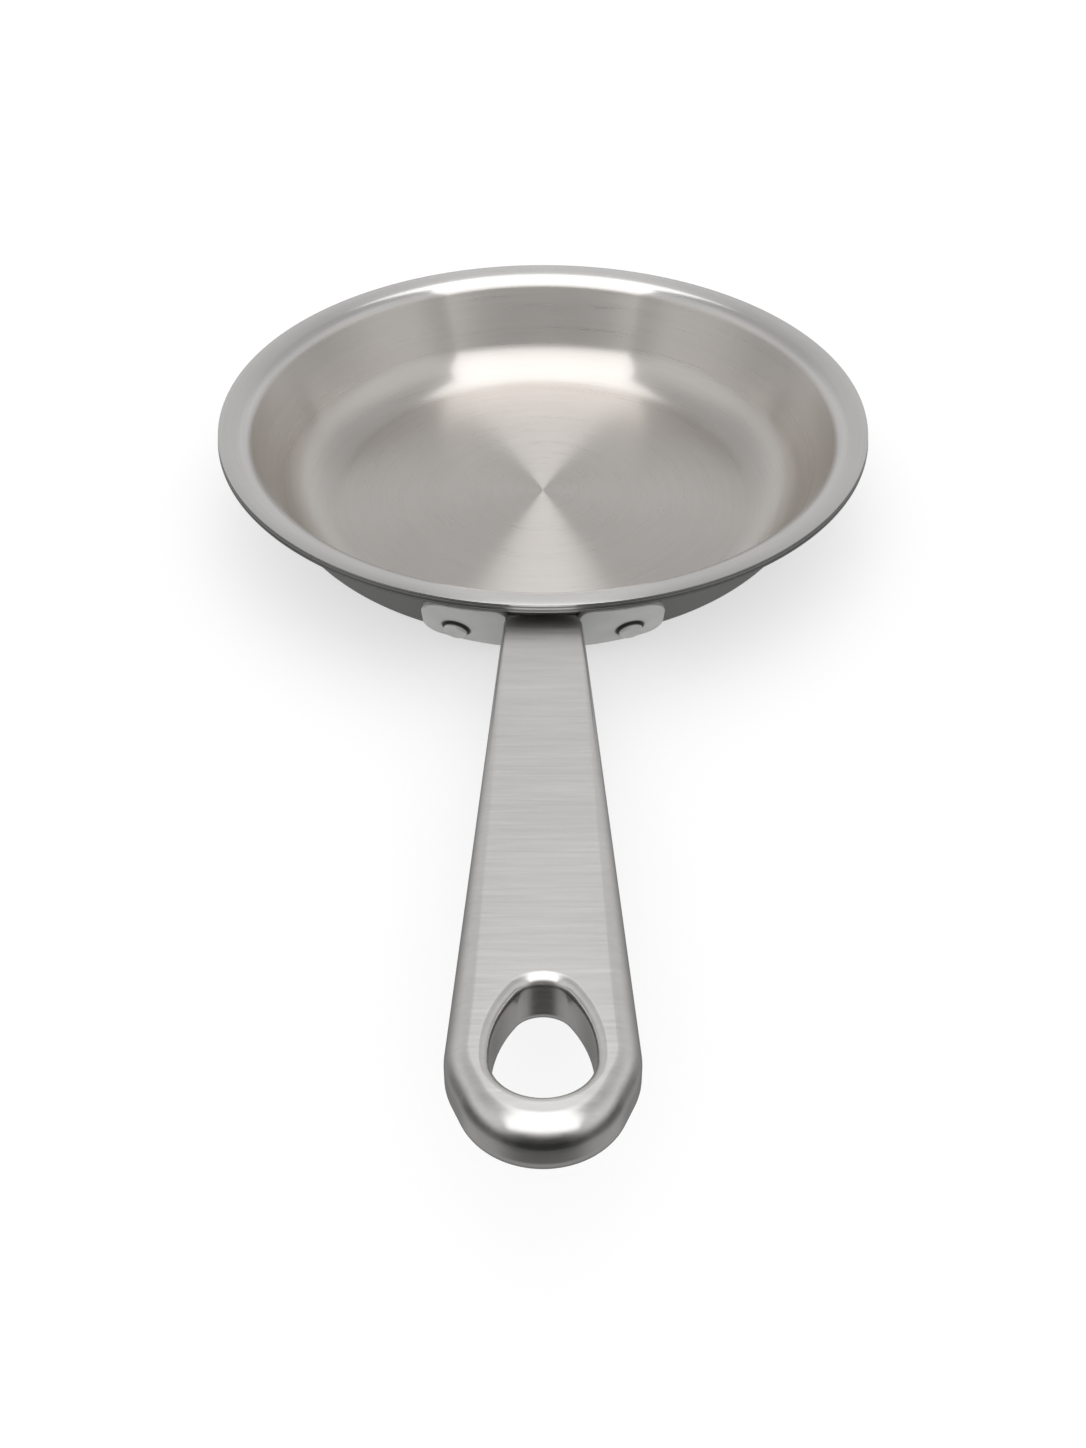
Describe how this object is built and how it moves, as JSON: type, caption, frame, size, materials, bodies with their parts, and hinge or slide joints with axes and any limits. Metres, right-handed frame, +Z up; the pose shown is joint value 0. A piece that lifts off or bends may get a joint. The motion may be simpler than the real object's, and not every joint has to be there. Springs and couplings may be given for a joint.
{
  "type": "frying pan",
  "caption": "Small shallow frying pan with flared rim, layered metal body and a long riveted steel handle with a hanging hole.",
  "frame": {"origin": "centre of the flat underside, on the surface that the pan stands on", "axes": "+Z up, the handle runs towards -Y and rises away from the body, +X to the right seen from the handle's end"},
  "size_m": [0.2038, 0.3801, 0.0659],
  "materials": {
    "inner_steel": "turned in fine circles, satin",
    "layer_aluminium": "bare cut edge, dull",
    "core_steel": "bare cut edge",
    "outer_steel": "brushed round, satin",
    "bracket_steel": "blasted, matt",
    "handle_steel": "brushed across, satin",
    "rivet_steel": "pressed, matt"
  },
  "bodies": {
    "root": {"inner_steel_layer": "inner_steel", "upper_aluminium_layer": "layer_aluminium", "core_steel_layer": "core_steel", "lower_aluminium_layer": "layer_aluminium", "outer_steel_layer": "outer_steel", "handle_bracket": "bracket_steel", "handle_upper_shell": "handle_steel", "handle_lower_shell": "handle_steel", "rivet_left": "rivet_steel", "rivet_right": "rivet_steel"}
  },
  "joints": []
}
